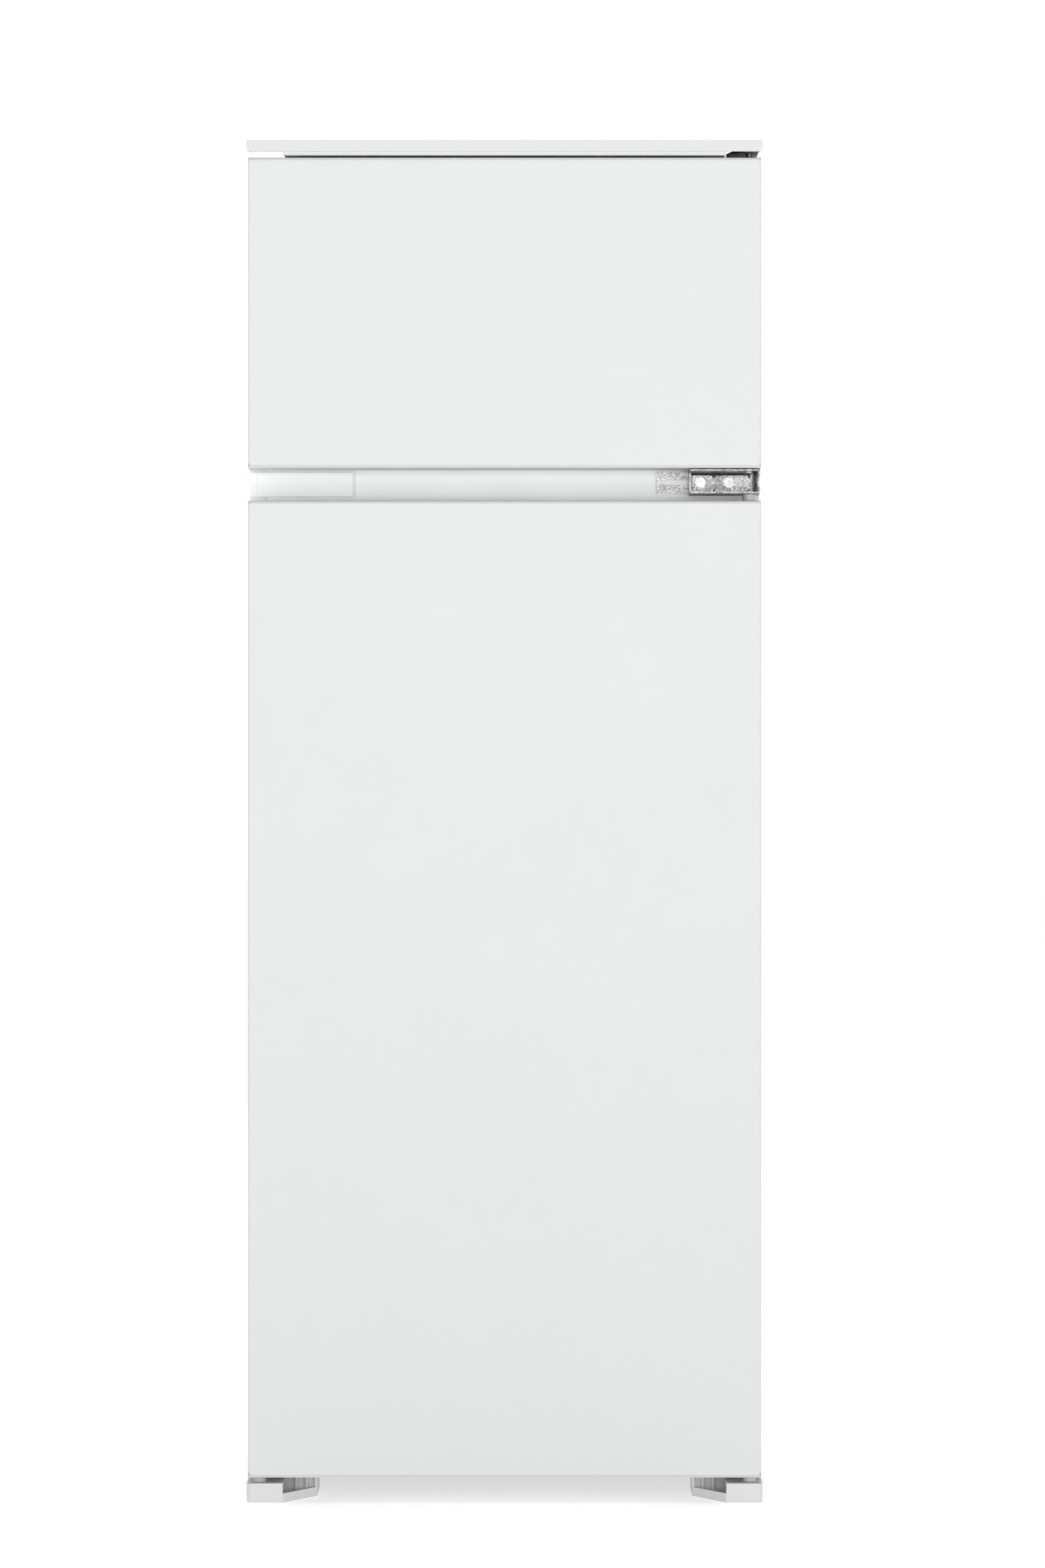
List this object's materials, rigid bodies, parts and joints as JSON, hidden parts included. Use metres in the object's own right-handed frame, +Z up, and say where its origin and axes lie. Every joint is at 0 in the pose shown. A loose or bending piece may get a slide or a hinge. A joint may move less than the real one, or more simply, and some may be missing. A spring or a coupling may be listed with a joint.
{
  "type": "top freezer refrigerator",
  "caption": "Tall white built-in two-door refrigerator with the freezer on top, hinged doors, glass shelves, door racks, crisper drawers and a rear condenser grid.",
  "frame": {"origin": "on the floor, under the middle of the bounding box", "axes": "+Z up, the doors face -Y, +X towards the hinge side seen from the front"},
  "size_m": [0.54, 0.545, 1.425],
  "materials": {
    "white_steel": "smooth white lacquer",
    "white_plastic": "white moulded plastic",
    "trim_plastic": "satin white plastic",
    "liner_plastic": "vacuum formed white polystyrene",
    "rack_plastic": "milky clear polystyrene",
    "crisper_plastic": "translucent polystyrene",
    "zinc_steel": "spangled zinc plate",
    "hinge_steel": "dark zinc plate",
    "pin_steel": "turned steel",
    "screw_steel": "zinc plated",
    "galvanised": "galvanised sheet",
    "foam": "rigid polyurethane foam",
    "seal": "soft white PVC",
    "black_steel": "semi-gloss black lacquer",
    "grommet_rubber": "black rubber",
    "black_plastic": "fine texture",
    "grey_plastic": "fine texture",
    "copper": "drawn copper",
    "aluminium_sheet": "roll-bonded sheet",
    "glass": "toughened clear glass",
    "lens_plastic": "ribbed clear plastic",
    "bulb_glass": "frosted glass"
  },
  "bodies": {
    "cabinet": {"left_side_panel": "white_steel", "right_side_panel": "white_steel", "top_panel": "white_steel", "bottom_panel": "galvanised", "back_panel": "galvanised", "cabinet_foam": "foam", "fridge_liner": "liner_plastic", "freezer_liner": "liner_plastic", "crossbar_cover": "white_plastic", "crossbar_rail": "galvanised", "top_trim": "trim_plastic", "trim_rail": "white_plastic", "hinge_hole_cover": "white_plastic", "middle_hinge_arm": "zinc_steel", "middle_hinge_plate": "zinc_steel", "middle_hinge_pin": "pin_steel", "top_hinge": "hinge_steel", "hinge_screws": "screw_steel", "left_foot": "white_plastic", "right_foot": "white_plastic", "lower_hinge_pin": "pin_steel", "foot_screws": "screw_steel", "rear_skids": "black_plastic", "compressor": "black_steel", "compressor_plate": "galvanised", "compressor_grommets": "grommet_rubber", "compressor_bolts": "screw_steel", "relay_box": "black_plastic", "drip_tray": "black_plastic", "drain_tube": "grey_plastic", "condenser_coil": "black_steel", "condenser_wires": "black_steel", "condenser_spacers": "black_plastic", "filter_drier": "copper", "refrigerant_pipes": "copper", "cord_gland": "black_plastic", "evaporators": "aluminium_sheet", "shelf_glass": "glass", "shelf_trims": "white_plastic", "freezer_shelf": "white_steel", "control_housing": "white_plastic", "lamp_lens": "lens_plastic", "lamp_bulb": "bulb_glass", "switch_housing": "white_plastic"},
    "freezer_door": {"freezer_door_skin": "white_steel", "freezer_door_caps": "white_plastic", "freezer_door_foam": "foam", "freezer_door_liner": "liner_plastic", "freezer_door_seal": "seal", "freezer_door_racks": "rack_plastic"},
    "fridge_door": {"fridge_door_skin": "white_steel", "fridge_door_caps": "white_plastic", "fridge_door_foam": "foam", "fridge_door_liner": "liner_plastic", "fridge_door_seal": "seal", "fridge_door_racks": "rack_plastic"},
    "left_crisper_body": {"left_crisper": "crisper_plastic"},
    "right_crisper_body": {"right_crisper": "crisper_plastic"},
    "thermostat": {"thermostat_knob": "white_plastic"},
    "switch": {"switch_plunger": "grey_plastic"}
  },
  "joints": [
    {"name": "fridge_door_hinge", "type": "hinge", "parent": "cabinet", "child": "fridge_door", "pos_m": [0.257, -0.252, 0.536], "axis": [0, 0, 1], "range_deg": [0, 115]},
    {"name": "freezer_door_hinge", "type": "hinge", "parent": "cabinet", "child": "freezer_door", "pos_m": [0.257, -0.252, 1.244], "axis": [0, 0, 1], "range_deg": [0, 115]},
    {"name": "left_crisper_slide", "type": "slide", "parent": "cabinet", "child": "left_crisper_body", "axis": [0, -1, 0], "range_m": [0, 0.15]},
    {"name": "right_crisper_slide", "type": "slide", "parent": "cabinet", "child": "right_crisper_body", "axis": [0, -1, 0], "range_m": [0, 0.15]},
    {"name": "thermostat_turn", "type": "hinge", "parent": "cabinet", "child": "thermostat", "pos_m": [-0.062, -0.18, 1.01175], "axis": [0, -1, 0], "range_deg": [0, 300]},
    {"name": "switch_press", "type": "slide", "parent": "cabinet", "child": "switch", "axis": [0, -1, 0], "range_m": [0, 0.005]}
  ],
  "couplings": [
    {"joint": "left_crisper_slide", "follows": "fridge_door_hinge", "m_per_rad": 0.0747},
    {"joint": "right_crisper_slide", "follows": "fridge_door_hinge", "m_per_rad": 0.0747},
    {"joint": "switch_press", "follows": "fridge_door_hinge", "m_per_rad": 0.0024}
  ]
}
